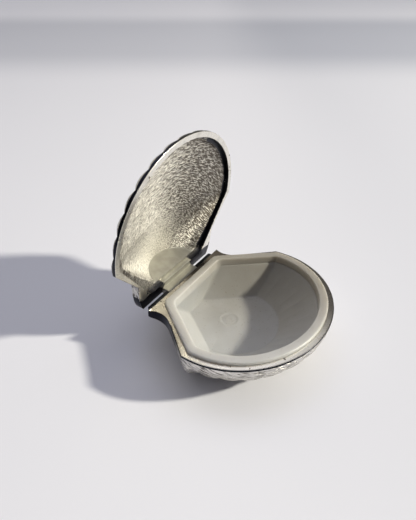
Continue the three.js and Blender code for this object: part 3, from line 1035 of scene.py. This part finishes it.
def lid_arm(vertex, side):
    """Draws the top of the lid's knuckle up to the lid, which is still shut."""
    if side.z > 1e-6 and abs(side.y) < KNUCKLE_RADIUS * MM * 0.97:
        vertex.co.z = HINGE_AXIS.z + LID_ARM_TOP * MM


# ---------------------------------------------------------------------------- the stage


CAMERA_PLACE = (-0.11616, -0.06163, 0.12085)
CAMERA_TARGET = (0.0144, 0.0188, 0.0164)
CAMERA_LENS = 31.9
CAMERA_SENSOR = 36.0
KEY_PLACE = Vector((0.395, -0.790, 0.469)) * 1.9
KEY_TARGET = (0, 0, 0.01)
KEY_SIZE = 0.12
KEY_ENERGY = 47
KEY_COLOUR = (1.0, 0.955, 0.80)
# colour of the floor's painted shade and painted shadow
FLOOR_SHADE = (0.42, 0.44, 0.52)
WALL_AROUND = (0.30, 0.34, 0.48)
# The level way from the camera to beyond the box
AHEAD_X, AHEAD_Y = 0.852, 0.524


def look_at(thing, place, target):
    """Sets a light or a camera at a place and points it at a target."""
    thing.location = place
    thing.rotation_euler = (Vector(target) - Vector(place)).to_track_quat("-Z", "Y").to_euler()


def ahead_and_aside(look, vector):
    """How far a point lies beyond the box, and to its right, as the camera sees it."""
    x, y = look.part(vector, 0), look.part(vector, 1)
    return x * AHEAD_X + y * AHEAD_Y, x * AHEAD_Y - y * AHEAD_X


def pale_floor(colours):
    """Pale matt floor with a faint mottle, painted shade a little darker on the right and a
    painted shadow in a band beyond the box.
    """
    material, look = new_material("pale_floor")
    place = look.node("ShaderNodeTexCoord", None, None, "Object")
    ahead, aside = ahead_and_aside(look, place)
    # painted shadow: a soft band across the floor beyond the box; painted shade on the right
    beyond = look.step(ahead, 0.38, 0.56) * (1 - look.step(ahead, 0.8, 1.0))
    shade_on_right = look.step(aside, -0.02, 0.12)
    shade = look.noise(place, 3.0, 3.0) * 0.08 + shade_on_right * 0.3 + beyond * 0.55
    tone = look.mix(look.clamped(shade), tuple(colours.floor), FLOOR_SHADE)
    look.surface(Base_Color=tone, Roughness=0.75)
    return material


def studio_world(colours):
    """Soft light from above and a warm wall beyond the box, in a dim room."""
    world = bpy.data.worlds.new("studio")
    look = Look(world)
    way = look.node("ShaderNodeTexCoord", None, None, "Generated")
    ahead, aside = ahead_and_aside(look, way)
    ahead = look.step(ahead, -0.1, 0.45)
    aside = look.step(aside, -0.05, 0.28)
    high = look.step(look.part(way, 2), 0.6, 0.88)
    low = 0.02 + ahead * (0.5 - aside * 0.42)
    strength = 1.3 * (low * (1 - high) + high * (0.3 + ahead * 0.85))
    wall = look.mix(ahead, WALL_AROUND, tuple(colours.wall))
    tone = look.mix(high, wall, tuple(colours.fill))
    back = look.node("ShaderNodeBackground", None, {"Color": tone, "Strength": strength})
    look.node("ShaderNodeOutputWorld", None, {"Surface": back})
    return world


class SHELLBOX_OT_stage(bpy.types.Operator):
    """Sets the pale floor, the soft studio light and the camera"""

    bl_idname = "shell_box.stage"
    bl_label = "Stage"

    def execute(self, context):
        nothing_selected()
        bpy.ops.mesh.primitive_plane_add(size=sizes().floor_side, location=(0, 0, 0))
        floor = bpy.context.active_object
        floor.name = "floor"
        floor.data.materials.append(pale_floor(colours()))

        bpy.ops.object.light_add(type="AREA", location=KEY_PLACE)
        key = context.active_object
        key.name = "key_light"
        key.data.shape = "DISK"
        key.data.size = KEY_SIZE
        key.data.energy = KEY_ENERGY
        key.data.color = KEY_COLOUR
        look_at(key, KEY_PLACE, KEY_TARGET)

        context.scene.world = studio_world(colours())

        bpy.ops.object.camera_add(location=CAMERA_PLACE)
        camera = context.active_object
        camera.name = "camera"
        camera.data.lens = CAMERA_LENS
        camera.data.sensor_width = CAMERA_SENSOR
        camera.data.clip_start = 0.005
        camera.data.clip_end = 50
        look_at(camera, CAMERA_PLACE, CAMERA_TARGET)
        context.scene.camera = camera
        context.scene.view_settings.view_transform = "Standard"
        return {"FINISHED"}


class SHELLBOX_PT_panel(bpy.types.Panel):
    """Lists the pieces, sizes and colours of the shell box"""

    bl_label = "Shell box"
    bl_idname = "SHELLBOX_PT_panel"
    bl_space_type = "VIEW_3D"
    bl_region_type = "UI"
    bl_category = "Shell box"

    def draw(self, context):
        for operator in STEPS:
            self.layout.operator(operator.bl_idname)
        for group in (sizes(), colours()):
            box = self.layout.box()
            for key in type(group).__annotations__:
                box.prop(group, key)


STEPS = (
    SHELLBOX_OT_base_valve,
    SHELLBOX_OT_lid_valve,
    SHELLBOX_OT_liner,
    SHELLBOX_OT_hinge,
    SHELLBOX_OT_stage,
)
CLASSES = (ShellBoxSizes, ShellBoxColours, *STEPS, SHELLBOX_PT_panel)


def register():
    for cls in CLASSES:
        bpy.utils.register_class(cls)
    bpy.types.Scene.shell_box_sizes = bpy.props.PointerProperty(type=ShellBoxSizes)
    bpy.types.Scene.shell_box_colours = bpy.props.PointerProperty(type=ShellBoxColours)


def unregister():
    del bpy.types.Scene.shell_box_colours
    del bpy.types.Scene.shell_box_sizes
    for cls in reversed(CLASSES):
        bpy.utils.unregister_class(cls)


def main():
    register()
    bpy.ops.shell_box.base_valve()
    bpy.ops.shell_box.lid_valve()
    bpy.ops.shell_box.liner()
    bpy.ops.shell_box.hinge()
    bpy.ops.shell_box.stage()


if __name__ == "__main__":
    main()
